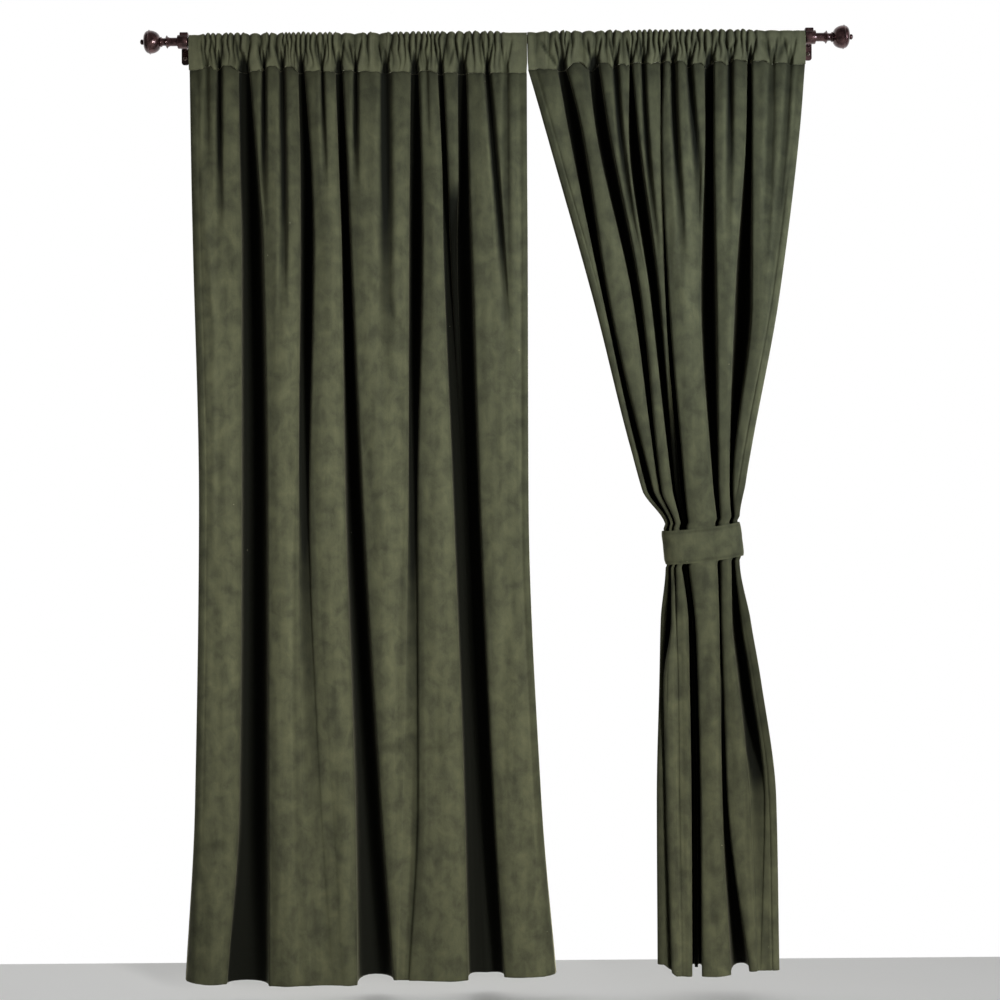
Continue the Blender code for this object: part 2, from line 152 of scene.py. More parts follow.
bronze = bronze_lacquer()
shape = bmesh.new()
end, bore = ROD_HALF_LENGTH, ROD_RADIUS - ROD_WALL
tube = [(-end, bore), (-end, ROD_RADIUS), (end, ROD_RADIUS), (end, bore), (-end, bore)]
turn(shape, tube, ROD_MIDDLE, RIGHTWARD)
new_piece("rod_tube", facing_out(shape), [bronze], ["rod"])


# Each wall bracket is a zinc casting lacquered like the rod: a slim plate with rounded ends that a screw
# holds to the wall, an arm, a collar with turned rims that the rod slides through, and a square cap cast on
# top of the collar.
PLATE_WIDTH = 17 * MM
PLATE_HEIGHT = 60 * MM
PLATE_THICK = 3 * MM
PLATE_CORNER = 6 * MM
COLLAR_RADIUS = 15.5 * MM
COLLAR_LENGTH = 23 * MM
COLLAR_RIM = 1.5 * MM
ARM_WIDTH = 14 * MM
ARM_HEIGHT = 18 * MM
ARM_ROUND = 2.5 * MM
CAP_WIDTH = 19 * MM
CAP_DEPTH = 18 * MM
CAP_TOP = 20 * MM
CAP_INSET = 5 * MM
CAP_ROUND = 2 * MM
FIT_GAP = 0.3 * MM
CLEAR_OF_ROD = 1 * MM


def block(shape, size, centre, round_by, segments, along_y=False):
    """A cast block with its edges rounded, or only those that run out of the wall."""
    place = Matrix.Translation(centre) @ Matrix.Diagonal((*size, 1))
    made = bmesh.ops.create_cube(shape, size=1, matrix=place)
    edges = {edge for vert in made["verts"] for edge in vert.link_edges}
    if along_y:
        edges = {edge for edge in edges if abs((edge.verts[0].co - edge.verts[1].co).y) > 0.5 * size[1]}
    bmesh.ops.bevel(
        shape, geom=list(edges), offset=round_by, segments=segments, profile=0.5, affect="EDGES", material=-1
    )


for word, side in (("left", -1), ("right", 1)):
    low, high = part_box("bracket_" + word)
    outer = low.x if side < 0 else high.x
    plate_x = outer - side * PLATE_WIDTH / 2
    plate_y = high.y - PLATE_THICK / 2
    collar_x = outer - side * COLLAR_LENGTH / 2
    cap_x = outer - side * (CAP_INSET + CAP_WIDTH / 2)
    shape = bmesh.new()
    plate_centre = Vector((plate_x, plate_y, low.z + PLATE_HEIGHT / 2))
    block(shape, (PLATE_WIDTH, PLATE_THICK, PLATE_HEIGHT), plate_centre, PLATE_CORNER, 8, along_y=True)
    arm_length = plate_y - ROD_MIDDLE.y - ROD_RADIUS - CLEAR_OF_ROD
    arm_centre = Vector((plate_x, plate_y - arm_length / 2, ROD_MIDDLE.z))
    block(shape, (ARM_WIDTH, arm_length, ARM_HEIGHT), arm_centre, ARM_ROUND, 3)
    cap_low = ROD_RADIUS + CLEAR_OF_ROD
    cap_centre = Vector((cap_x, ROD_MIDDLE.y, ROD_MIDDLE.z + (CAP_TOP + cap_low) / 2))
    block(shape, (CAP_WIDTH, CAP_DEPTH, CAP_TOP - cap_low), cap_centre, CAP_ROUND, 3)
    half, bore, ease = COLLAR_LENGTH / 2, ROD_RADIUS + FIT_GAP, COLLAR_RIM * 0.3
    end_rim = [(half - COLLAR_RIM, COLLAR_RADIUS), (half - ease, COLLAR_RADIUS - ease)]
    end_rim += [(half, COLLAR_RADIUS - COLLAR_RIM), (half, bore)]
    collar = [(-along, radius) for along, radius in reversed(end_rim)] + end_rim + [(-half, bore)]
    turn(shape, collar, Vector((collar_x, ROD_MIDDLE.y, ROD_MIDDLE.z)), RIGHTWARD)
    new_piece("bracket_" + word + "_cast", facing_out(shape), [bronze], ["bracket_" + word])


# One pan-head steel screw holds the foot of each plate. It is plated bronze, and the slot that drove it has
# worn the plating bright, so it catches the light more than the plate round it.
def plated_steel():
    """Bronze-plated steel: smoother and paler than the lacquer, brightest where the driver rubbed it."""
    made, tree, shader, place = new_material("bronze_plated_steel", {"Metallic": 1.0, "Roughness": 0.28})
    # The rubbed places are about 3 mm across
    rubbed = add(tree, "TexNoise", {"Scale": 1 / 0.003, "Detail": 2.0}, [("Vector", place)])
    platings = {"data_type": "RGBA", 6: colour("6A5750"), 7: colour("B7A79E")}
    tint = add(tree, "Mix", platings, [(0, rubbed.outputs["Fac"])])
    tree.links.new(tint.outputs[2], shader.inputs["Base Color"])
    return made


SCREW_HEAD = 4.5 * MM
SCREW_HEAD_TALL = 2.5 * MM
SCREW_SHANK = 2 * MM
SCREW_SIDES = 40
SLOT_WIDTH = 1.0 * MM
SLOT_DEPTH = 1.6 * MM
SLOT_SLANT = math.radians(40)
plated = plated_steel()
for word in ("left", "right"):
    low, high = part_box("screw_" + word)
    centre = Vector(((low.x + high.x) / 2, low.y, (low.z + high.z) / 2))
    into_wall = Vector((0, 1, 0))
    shape = bmesh.new()
    dome = [(0, 0), (0, SCREW_HEAD * 0.5), (0.3 * MM, SCREW_HEAD * 0.72), (0.9 * MM, SCREW_HEAD * 0.92)]
    dome += [(1.6 * MM, SCREW_HEAD), (SCREW_HEAD_TALL, SCREW_HEAD), (SCREW_HEAD_TALL, SCREW_SHANK)]
    dome += [(high.y - low.y, SCREW_SHANK), (high.y - low.y, 0)]
    turn(shape, dome, centre, into_wall, SCREW_SIDES)
    # The slot stands at a slant, as it was left, and is cut to where the head's side begins
    square_to_slot = Matrix.Rotation(SLOT_SLANT, 3, "Y") @ Vector((0, 0, 1))
    for edge_side in (-1, 1):
        bmesh.ops.bisect_plane(
            shape,
            geom=shape.verts[:] + shape.edges[:] + shape.faces[:],
            plane_co=centre + square_to_slot * edge_side * SLOT_WIDTH / 2,
            plane_no=square_to_slot,
        )
    slotted = []
    for face in shape.faces:
        off = face.calc_center_median() - centre
        if abs(off.dot(square_to_slot)) < SLOT_WIDTH / 2 and off.y < SLOT_DEPTH:
            slotted.append(face)
    sunk = bmesh.ops.extrude_face_region(shape, geom=slotted)
    for part in sunk["geom"]:
        if isinstance(part, bmesh.types.BMVert):
            part.co.y = centre.y + SLOT_DEPTH
    bmesh.ops.dissolve_degenerate(shape, dist=MERGE_WITHIN / 10, edges=shape.edges)
    new_piece("screw_" + word + "_plated", facing_out(shape), [plated], ["screw_" + word])


# The finials are turned knobs lacquered like the rod: a spigot in the tube, a sharp ridge, a neck with a
# ring, a ball with a pointed ridge round it, and an end bead. They are turned in one piece and pushed in.
def quarter(centre, along, outward, start_degrees, end_degrees, steps):
    """Points of a quarter ellipse about its centre, in mm, not counting the first."""
    for step in range(1, steps + 1):
        angle = math.radians(start_degrees + (end_degrees - start_degrees) * step / steps)
        yield centre[0] + along * math.cos(angle), centre[1] + outward * math.sin(angle)


def knob_profile():
    """The knob's outline as (distance along the axis, radius), from the spigot's end to the bead's tip."""
    spigot = (ROD_RADIUS - ROD_WALL - FIT_GAP) / MM
    profile = [(-18, 0), (-18, spigot - 1), (-17, spigot), (0.3, spigot), (0.3, 9.9), (0.8, 10.4)]
    profile += [(2.2, 10.6), (3.4, 11.4), (4.6, 13.2), (5.3, 14.3), (5.8, 14.5), (6.3, 14.1), (7.2, 12.2)]
    profile += [(8.6, 10.1), (10.4, 8.9), (12.5, 8.5), (14.6, 8.5), (16.4, 8.9), (17.3, 10.0), (18.2, 11.1)]
    profile += [(19.2, 11.4), (20.2, 11.0), (21.0, 9.9), (21.6, 9.2)]
    profile += quarter((44.5, 9.0), 22.9, 16.6, 180, 92, 16)
    profile += [(44.6, 26.3), (45.1, 27.2), (45.6, 26.2)]
    profile += quarter((45.9, 12.0), 11.3, 13.3, 86, 4, 14)
    profile += [(57.3, 9.0), (57.5, 6.2), (58.0, 5.0), (58.8, 4.6)]
    profile += quarter((62.2, 0.0), 4.6, 6.2, 128, 0, 12)
    return [(along * MM, radius * MM) for along, radius in profile]


for word, side in (("left", -1), ("right", 1)):
    shape = bmesh.new()
    turn(shape, knob_profile(), ROD_MIDDLE + RIGHTWARD * side * ROD_HALF_LENGTH, RIGHTWARD * side)
    new_piece("finial_" + word + "_turned", facing_out(shape), [bronze], ["finial_" + word], 25)


# The left panel is one length of olive cotton velvet, cut 1.27 m wide, with narrow side hems and a hem at the
# foot. Its top is folded back and stitched 71 mm below the rod, and the pocket that this makes is bunched on
# the rod, so that the cloth falls in deep folds whose grooves the light hardly reaches. Shade is painted into
# those grooves as well.
def cotton_velvet():
    """Cotton velvet: short pile that drinks light face on and glows at the edges, brushed in patches, with
    shade and light painted in.
    """
    pile_gloss = {"Roughness": 0.95, "Specular IOR Level": 0.12, "Sheen Weight": 0.6, "Sheen Roughness": 0.3}
    made, tree, shader, place = new_material("cotton_velvet", {**pile_gloss, "Sheen Tint": colour("C9C6A6")})
    # Hands and folding brush the pile in patches about 32 mm wide and a third taller
    drawn = add(tree, "Mapping", {"Scale": (1, 1, 0.75)}, [("Vector", place)]).outputs[0]
    patchy = {"Scale": 1 / 0.032, "Detail": 4.0, "Roughness": 0.55, "Distortion": 0.3}
    patches = add(tree, "TexNoise", patchy, [("Vector", drawn)]).outputs["Fac"]
    # Streaks 12 mm wide run down the cloth where it rubbed in its packing
    combed = add(tree, "Mapping", {"Scale": (1, 1, 0.07)}, [("Vector", place)]).outputs[0]
    streaks = add(tree, "TexNoise", {"Scale": 1 / 0.012, "Detail": 3.0}, [("Vector", combed)]).outputs["Fac"]
    # Single tufts are 0.3 mm, and are drawn at 1.6 mm so that they show
    pile = add(tree, "TexNoise", {"Scale": 1 / 0.0016, "Detail": 2.0}, [("Vector", place)]).outputs["Fac"]
    both = add(tree, "Mix", {"data_type": "FLOAT", 0: 0.2}, [(2, patches), (3, streaks)])
    grainy = add(tree, "Mix", {"data_type": "FLOAT", 0: 0.15}, [(2, both.outputs[0]), (3, pile)])
    share = add(tree, "MapRange", {"From Min": 0.34, "From Max": 0.66}, [("Value", grainy.outputs[0])])
    olives = {"data_type": "RGBA", 6: colour("393A2C"), 7: colour("565740")}
    nap = add(tree, "Mix", olives, [(0, share.outputs[0])]).outputs[2]
    # Shade and light are painted into the colour from a value that the mesh carries: at 1 a place is painted
    # wholly dark, as shade in the grooves and nips, under the seam, on the side hems and in the creases, on
    # top of the real shade there, and at -1 it is painted wholly pale, as light over the pocket
    painted_shading = add(tree, "Attribute", {"attribute_name": "painted_shading"}).outputs["Fac"]
    to_painted_light = {"From Min": -1.0, "From Max": 0.0, "To Min": 1.0, "To Max": 0.0}
    painted_light_share = add(tree, "MapRange", to_painted_light, [("Value", painted_shading)]).outputs[0]
    painted_light = add(tree, "Mix", {"data_type": "RGBA", 7: colour("8A8A6C")}, [(0, painted_light_share), (6, nap)]).outputs[2]
    painted_dark = add(tree, "Mix", {"data_type": "RGBA", 7: colour("10110B")}, [(0, painted_shading), (6, painted_light)])
    # Lint: pale specks a little over 1 mm across, one to every 60 mm or so
    cells = add(tree, "TexVoronoi", {"Scale": 1 / 0.06, "Randomness": 1.0}, [("Vector", place)])
    near_middle = {"From Min": 0.009, "From Max": 0.014, "To Min": 1.0, "To Max": 0.0}
    speck = add(tree, "MapRange", near_middle, [("Value", cells.outputs["Distance"])]).outputs[0]
    lint = {"data_type": "RGBA", 7: colour("A9A58C")}
    linted = add(tree, "Mix", lint, [(0, speck), (6, painted_dark.outputs[2])])
    fuzz = add(tree, "Bump", {"Distance": 0.0005, "Strength": 0.5}, [("Height", pile)]).outputs[0]
    dents = add(tree, "Bump", {"Distance": 0.004, "Strength": 0.35}, [("Height", patches), ("Normal", fuzz)])
    tree.links.new(linted.outputs[2], shader.inputs["Base Color"])
    tree.links.new(dents.outputs[0], shader.inputs["Normal"])
    return made


# A wave texture of scale 1 repeats every 0.314 m
WAVE_AT_SCALE_1 = 0.314


def velvet_back():
    """The woven cotton ground that shows on the velvet's back: flat, paler and dull, with its thread."""
    flat = {"Roughness": 0.9, "Specular IOR Level": 0.2}
    made, tree, shader, place = new_material("woven_cotton_ground", flat)
    # Threads lie 0.5 mm apart, and are drawn at 2 mm so that they show
    waves = []
    for direction in ("X", "Z"):
        woven = {"Scale": WAVE_AT_SCALE_1 / 0.002, "bands_direction": direction}
        waves.append(add(tree, "TexWave", woven, [("Vector", place)]).outputs["Fac"])
    thread = add(tree, "Mix", {"data_type": "FLOAT", 0: 0.5}, [(2, waves[0]), (3, waves[1])]).outputs[0]
    # The dye is uneven over about 30 mm
    uneven = add(tree, "TexNoise", {"Scale": 1 / 0.03, "Detail": 3.0}, [("Vector", place)]).outputs["Fac"]
    share = add(tree, "Mix", {"data_type": "FLOAT", 0: 0.5}, [(2, thread), (3, uneven)])
    grounds = {"data_type": "RGBA", 6: colour("45442F"), 7: colour("605F47")}
    tint = add(tree, "Mix", grounds, [(0, share.outputs[0])])
    relief = add(tree, "Bump", {"Distance": 0.0004, "Strength": 0.5}, [("Height", thread)])
    tree.links.new(tint.outputs[2], shader.inputs["Base Color"])
    tree.links.new(relief.outputs[0], shader.inputs["Normal"])
    return made


# left, right: where the face of a fold starts and ends as seen from the eye, in mm on the rod's plane, for
# each level; front: how far its face stands in front of the rod's axis; valley: the same for the groove
# after it; dips: its smaller gathers; lift: how far its hem is drawn up
Fold = namedtuple("Fold", "left right front valley dips lift", defaults=(None, (), 0))
# at, to: where it lies across the face at the seam and at its end, from 0 to 1; deep, wide, end: in mm
Dip = namedtuple("Dip", "at to deep wide end")
# A crease runs straight from one seen place to another. A ridge has a negative depth
Crease = namedtuple("Crease", "x1 z1 x2 z2 wide deep")
# turn, drop: how wide and how deep the cloth curls back at its free edges; spacing: its rows, as (down to,
# how close); hem_shades, ripples: how much shade is painted on each side hem, and how far its stitching
# ripples the edge
# flare: how far each end of the pocket reaches past the seam's; calm: how strongly the pocket bunches at its
# ends, and (where, over what) that changes at the left and the right; bumps: where its gathers swell
# arches: where they draw the seam up, as (x, half width, rise); slants: creases of the pocket
PANEL_FIELDS = "levels folds turn drop hem_shades ripples spacing creases"
Panel = namedtuple("Panel", PANEL_FIELDS + " flare calm bumps arches slants seam_slope seed")

CLOTH_THICK = 1.6 * MM
LEFT_PANEL = Panel(
    levels=(-71, -317, -453, -1040, -1718, -2119),
    folds=(
        Fold(
            left=(-701, -697, -694, -680, -689, -710), right=(-592, -588, -585, -585, -590, -618),
            front=(9, 31, 40, 45, 45, 45), valley=(-13, -29, -38, -38, -30, 8),
            dips=(Dip(0.35, 0.3, 8, 5, -300), Dip(0.61, 0.55, 20, 5, -440)),
        ),
        Fold(
            left=(-565, -545, -536, -525, -523, -522), right=(-457, -452, -452, -456, -446, -428),
            front=(9, 31, 40, 45, 55, 65), valley=(-13, -20, -25, 22, 46, 60),
            dips=(Dip(0.29, 0.03, 20, 5, -430), Dip(0.67, 0.5, 20, 6, -640)),
        ),
        Fold(
            left=(-441, -424, -420, -430, -404, -376), right=(-373, -364, -359, -350, -328, -323),
            front=(9, 29, 38, 42, 52, 62), valley=(-13, -29, -38, -38, -38, -35),
            dips=(Dip(0.57, 0.45, 14, 4, -340),),
        ),
        Fold(
            left=(-355, -343, -337, -310, -269, -240), right=(-203, -205, -206, -208, -220, -232),
            front=(9, 29, 38, 38, 32, 22), valley=(-13, -24, -30, 18, 28, 20),
            dips=(Dip(0.19, 0.1, 20, 5, -360), Dip(0.63, 0.57, 18, 10, -780)),
        ),
        Fold(
            left=(-183, -176, -174, -185, -184, -205), right=(-142, -131, -129, -106, -81, -72),
            front=(9, 30, 38, 40, 42, 30), valley=(-13, -29, -36, -40, -41, -42),
            dips=(Dip(0.4, 0.3, 6, 4, -260),),
        ),
        Fold(
            left=(-127, -117, -112, -82, -52, -36), right=(-97, -95, -98, -72, -42, -26),
            front=(9, 8, -18, -39, -40, -41), valley=(-13, -29, -38, -41, -42, -43),
        ),
        Fold(
            left=(-75, -69, -64, -45, -14, 10), right=(60, 61, 62, 64, 93, 127),
            front=(9, 28, 36, 36, 25, 5),
            dips=(Dip(0.34, 0.64, 24, 6, -700), Dip(0.65, 0.6, 7, 7, -900)),
        ),
    ),
    turn=(8, 11, 12, 12, 14, 50),
    drop=(3, 7, 8, 8, 14, 45),
    hem_shades=(0.45, 0.3),
    ripples=(3.2, 1.0),
    flare=(0, 1.4),
    calm=(0.12, (-672, 20), (22, 30)),
    spacing=((-110, 5), (-330, 10), (-2020, 16.5), (-2119, 6)),
    creases=(
        Crease(-671, -330, -646, -660, 8, -3),
        Crease(-646, -660, -647, -1150, 9, -3),
        Crease(-305, -433, -237, -437, 7, 3),
        Crease(-298, -543, -215, -667, 9, 3),
        Crease(-321, -893, -289, -950, 8, 3),
        Crease(-289, -1587, -113, -1590, 10, 3.5),
        Crease(-289, -1621, -113, -1618, 9, -2.5),
        Crease(-667, -1807, -621, -1812, 9, 3),
    ),
    bumps=(
        -686, -664, -651, -640, -628, -610, -601, -585, -570, -545, -520, -506, -484, -475, -468, -459, -447,
        -436, -425, -414, -398, -386, -377, -362, -338, -303, -282, -246, -226, -217, -203, -188, -176, -163,
        -154, -145, -133, -122, -102, -84, -63, -47, -27, -14, 2, 18, 42,
    ),
    arches=((-651, 11, 10), (-610, 20, 10), (-510, 18, 10), (-470, 16, 10), (-330, 20, 3), (-160, 16, 4)),
    slants=(
        Crease(-585, -7, -570, -48, 3, 3),
        Crease(-348, -12, -328, -55, 3.5, 3),
        Crease(-262, -14, -240, -50, 3, 2.5),
        Crease(-94, -20, -108, -60, 3, 2.5),
    ),
    seam_slope=-0.017,
    seed=3.0,
)

# The folds are laid out as they are seen from 4 m in front of the rod's middle, with the rod's right end a
# little high
EYE_DISTANCE = 4000 * MM
EYE_BELOW_ROD = 1041 * MM
LEAN = 0.0075

# The cloth's sizes, in mm. Its columns stand DIP_COLUMNS times closer where a gather starts
COLUMN_EVERY = 4.4
DIP_COLUMNS = 2.4
EDGE_STEPS = 4
VALLEY_STEPS = 5
# A face rounds off by FOLD_ROUND into its grooves, and over a wider strip where one is less than SHALLOW
FOLD_ROUND = 6
SHALLOW = 26
# A face swells by CROWN at this share of its width, and less where it is narrower than BROAD_FACE
CROWN = 5
CROWN_AT = 0.55
BROAD_FACE = 70
# The walls of a groove run in under the faces by UNDERCUT, or by less where it isn't DEEP_GROOVE deep
UNDERCUT = 3
DEEP_GROOVE = 40
# Shade is painted into a groove from DARK_FROM deep on, wholly dark FULL_GROOVE below that, and into a gather
# wholly at DARK_GATHER
DARK_FROM = 3
FULL_GROOVE = 13
DARK_GATHER = 12
# Shade is painted on a strip more than BACK_BY behind both its neighbours, and on a narrow end strip
BACK_BY = 12
NARROW_END = 30
# How much shade is painted on a face beside a groove at its left and at its right, and how far that reaches
LEFT_MOUTH = (0.42, 17)
RIGHT_MOUTH = (0.25, 7)
# The seam's stitching draws the cloth in just below it, and shade is painted on the cloth under the pocket
SEAM_PINCH = 2.5
PINCH_TALL = 9
SEAM_SHADE = 0.52
SEAM_SHADE_TALL = 60
SEAM_FOLLOW = 150
# How much shade is painted into a crease for each mm that it is deep, and how much of its run it tapers over
# at each end
CREASE_SHADE = 0.12
CREASE_TAPER = 0.15
# How wide the hems are, and how deep and wide the step is where each is stitched
SIDE_HEM = 16
SIDE_STEP = (2.4, 2.6)
FOOT_HEM = 62
FOOT_STEP = (1.3, 4)


def blend(levels, values, z):
    """The value at height z of a smooth run through the levels, which never overshoots them."""
    if z >= levels[0]:
        return values[0]
    if z <= levels[-1]:
        return values[-1]
    slopes = [(b - a) / (q - p) for a, b, p, q in zip(values, values[1:], levels, levels[1:])]
    tangents = [slopes[0]]
    for before, after in zip(slopes, slopes[1:]):
        turns = before * after <= 0
        tangents.append(0 if turns else 2 * before * after / (before + after))
    tangents.append(slopes[-1])
    at = next(i for i in range(len(slopes)) if z >= levels[i + 1])
    span = levels[at + 1] - levels[at]
    t = (z - levels[at]) / span
    rise = t * t * (3 - 2 * t)
    out = t * (1 - t) ** 2 * span
    back = -t * t * (1 - t) * span
    return values[at] + (values[at + 1] - values[at]) * rise + tangents[at] * out + tangents[at + 1] * back


def dip_depth(panel, fold, share, width, z):
    """How far the smaller gathers draw this place of a fold's face back, in mm."""
    total = 0
    for dip in fold.dips:
        run = (panel.levels[0] - z) / (panel.levels[0] - dip.end)
        if not 0 <= run <= 1:
            continue
        at = dip.at + (dip.to - dip.at) * run
        # A gather widens by two fifths on its way down, where it fades out
        off = (share - at) * width / (1.25 * dip.wide * (1 + 0.4 * run))
        total = max(total, dip.deep * (1 - run**1.5) * math.exp(-abs(off) ** 3))
    return total


def column_shares(fold):
    """Where the columns stand across a fold's face, from 0 to 1: closer together where a gather starts."""
    width = fold.right[0] - fold.left[0]
    grain = 200
    weights = []
    for step in range(grain):
        near = [abs((step + 0.5) / grain - dip.at) * width < 1.5 * dip.wide for dip in fold.dips]
        weights.append(DIP_COLUMNS if any(near) else 1)
    count = round(sum(weights) / grain * width / COLUMN_EVERY)
    shares = [0]
    passed = 0
    for step, weight in enumerate(weights):
        while len(shares) < count and passed + weight >= sum(weights) * len(shares) / count:
            part = (sum(weights) * len(shares) / count - passed) / weight
            shares.append((step + part) / grain)
        passed += weight
    return shares + [1]


def groove_share(depth):
    """How much shade is painted in where the cloth sinks this deep, from 0 to 1: a shallow hollow hardly, a
    deep one wholly.
    """
    return max(0, min(1, (depth - DARK_FROM) / FULL_GROOVE))


def edge_round(width, deep):
    """How round the edge of a face is beside a hollow this deep, in mm."""
    return min(FOLD_ROUND, width * 0.3, deep * 0.4)


def rounded_edge(edge, wide, front, deep, dark):
    """A face's quarter round from its edge in, as points of the line: wide is negative at the right."""
    angles = [math.pi / 2 * step / EDGE_STEPS for step in range(EDGE_STEPS)]
    return [(edge + wide * (1 - math.cos(a)), front - deep * (1 - math.sin(a)), dark) for a in angles]


def section(panel, z):
    """The cloth's line in plan at a height, as (seen x, distance in front of the axis, painted shade) points.
    """
    runs = [[blend(panel.levels, run, z) for run in fold[:3]] for fold in panel.folds]
    valleys = [blend(panel.levels, fold.valley, z) for fold in panel.folds[:-1]]
    turned, drop = blend(panel.levels, panel.turn, z), blend(panel.levels, panel.drop, z)
    fronts = [run[2] for run in runs]
    # Shade is painted on the walls of a strip that stands back between its neighbours
    shaded = [max(front, min(pair) - BACK_BY) for front, pair in zip(fronts[1:-1], zip(fronts, fronts[2:]))]
    shade_tops = [fronts[0], *shaded, fronts[-1]]
    line = []
    for at, (left, right, front) in enumerate(runs):
        width = right - left
        ends = []
        mouths = []
        for free, beside in ((at == 0, at - 1), (at == len(valleys), at)):
            if free:
                ends.append((min(turned, width * 0.4), drop))
                mouths.append(0)
                continue
            sunk = max(front - valleys[beside], 1)
            round_by = edge_round(width, sunk)
            ends.append((min(round_by + max(0, SHALLOW - sunk), width * 0.35), round_by))
            mouths.append(groove_share(sunk))
        (left_wide, left_deep), (right_wide, right_deep) = ends
        neighbours = [fronts[near] for near in (at - 1, at + 1) if 0 <= near < len(fronts)]
        if len(neighbours) == 2:
            back = groove_share(min(neighbours) - front - BACK_BY)
        else:
            back = 0.5 * groove_share(neighbours[0] - front) * (width < NARROW_END)
        # Shade is painted on a face that stands back, in its gathers, and beside its grooves, most at its
        # left
        left_dark, right_dark = mouths[0] * LEFT_MOUTH[0], mouths[1] * RIGHT_MOUTH[0]
        line += rounded_edge(left, left_wide, front, left_deep, max(back, left_dark))
        for place in column_shares(panel.folds[at]):
            across = left + left_wide + (width - left_wide - right_wide) * place
            share = (across - left) / width
            sunk = dip_depth(panel, panel.folds[at], share, width, z)
            side = place / CROWN_AT if place < CROWN_AT else (1 - place) / (1 - CROWN_AT)
            crown = CROWN * min(1, width / BROAD_FACE) ** 2 * side * (2 - side)
            near_left = left_dark * math.exp(-(across - left) / LEFT_MOUTH[1])
            near_right = right_dark * math.exp(-(right - across) / RIGHT_MOUTH[1])
            dark = max(back, min(1, sunk / DARK_GATHER), near_left, near_right)
            line.append((across, front + crown - sunk, dark))
        line += reversed(rounded_edge(right, -right_wide, front, right_deep, max(back, right_dark)))
        if at == len(valleys):
            break
        valley = valleys[at]
        next_left, next_right, next_front = runs[at + 1]
        next_top = next_front - edge_round(next_right - next_left, max(next_front - valley, 1))
        next_dark = LEFT_MOUTH[0] * groove_share(next_front - valley)
        middle = (right + next_left) / 2
        shade_top = min(shade_tops[at], shade_tops[at + 1])
        downward = range(1, VALLEY_STEPS + 1)
        upward = range(VALLEY_STEPS - 1, 0, -1)
        walls = (
            (right, front - right_deep, right_dark, 1, downward),
            (next_left, next_top, next_dark, -1, upward),
        )
        # Shade is painted down each groove's walls, more the deeper they go
        for start, top, rim_dark, way, steps in walls:
            under = UNDERCUT * min(1, max(0, top - valley) / DEEP_GROOVE)
            for step in steps:
                down = step / VALLEY_STEPS
                across = start + (middle - start) * down**1.7 - way * under * math.sin(math.pi * down)
                depth = top + (valley - top) * math.sin(math.pi / 2 * down)
                line.append((across, depth, max(rim_dark, groove_share(shade_top - depth))))
    return line


def lifts(panel):
    """How far the hem is drawn up at each column, in mm, even from the middle of one fold to the next."""
    lined = section(panel, panel.levels[-1])
    centres = [(fold.left[-1] + fold.right[-1]) / 2 for fold in panel.folds]
    result = []
    for across, _, _ in lined:
        at = sum(across > centre for centre in centres)
        before, after = max(at - 1, 0), min(at, len(centres) - 1)
        span = centres[after] - centres[before]
        share = (across - centres[before]) / span if span else 0
        result.append(panel.folds[before].lift * (1 - share) + panel.folds[after].lift * share)
    return result


def creased(creases, across, z):
    """How deep the creases are at this place, in mm."""
    total = 0
    for crease in creases:
        along = Vector((crease.x2 - crease.x1, crease.z2 - crease.z1))
        here = Vector((across - crease.x1, z - crease.z1))
        share = here.dot(along) / along.length_squared
        if not -CREASE_TAPER < share < 1 + CREASE_TAPER:
            continue
        off = (here - along * share).length / crease.wide
        if off < 3:
            from_ends = min(share + CREASE_TAPER, 1 + CREASE_TAPER - share)
            ends = max(0, min(1, from_ends / (2 * CREASE_TAPER)))
            total += crease.deep * math.exp(-off * off) * ends
    return total


def waver(x, y, z):
    """Smooth noise between about -1 and 1, whose waves are about one unit long."""
    return noise.noise(Vector((x, y, z)))


def relief(panel, across, z):
    """What a fold's face has besides its crown, in mm: slow waves, small dents, and the placed creases."""
    push = 4.5 * waver(across / 42, z / 320, panel.seed)
    push += 1.3 * waver(across / 17, z / 90, panel.seed + 20)
    return push - creased(panel.creases, across, z)


def side_hem(panel, from_edges, z):
    """The step of each side hem's fold and the ripple that its stitching draws along the edge, in mm."""
    push = 0
    deep, wide = SIDE_STEP
    for distance, ripple in zip(from_edges, panel.ripples):
        push -= deep * math.exp(-(((distance - SIDE_HEM) / wide) ** 2))
        # The ripples are 60 mm long, lean outward and drift
        wave = math.sin((z + 1.3 * distance) / 9.5 + 2.2 * waver(0, z / 90, 7))
        push += ripple * wave * math.exp(-distance / 22)
    return push


def hanging_row(panel, z):
    """One row of the cloth below the seam, as (x from the rod's middle, how far in front of it, painted
    shade).
    """
    lean = LEAN * (z * MM + EYE_BELOW_ROD)
    line = section(panel, z)
    pinch = max(0, 1 - (panel.levels[0] - z) / PINCH_TALL)
    foot = FOOT_STEP[0] * math.exp(-(((z - panel.levels[-1] - FOOT_HEM) / FOOT_STEP[1]) ** 2))
    under_seam = SEAM_SHADE * math.exp((z - panel.levels[0]) / SEAM_SHADE_TALL)
    result = []
    for seen, front, painted_shading in line:
        from_edges = (seen - line[0][0], line[-1][0] - seen)
        # The waves and the hems' steps don't reach into a groove
        open_face = 1 - min(1, max(0, painted_shading - 0.3) * 2.5)
        front += open_face * relief(panel, seen, z)
        front += open_face * side_hem(panel, from_edges, z)
        front -= SEAM_PINCH * pinch**2 + foot
        depth = front * MM
        across = (seen * MM + lean) * (1 - depth / EYE_DISTANCE)
        # Shade is painted under the seam, in the creases, and over the side hems
        shade = max(painted_shading, under_seam, CREASE_SHADE * creased(panel.creases, seen, z))
        for distance, dark in zip(from_edges, panel.hem_shades):
            shade = max(shade, dark * min(1, max(0, (SIDE_HEM - distance) / 4)))
        result.append((across, depth, shade))
    return result


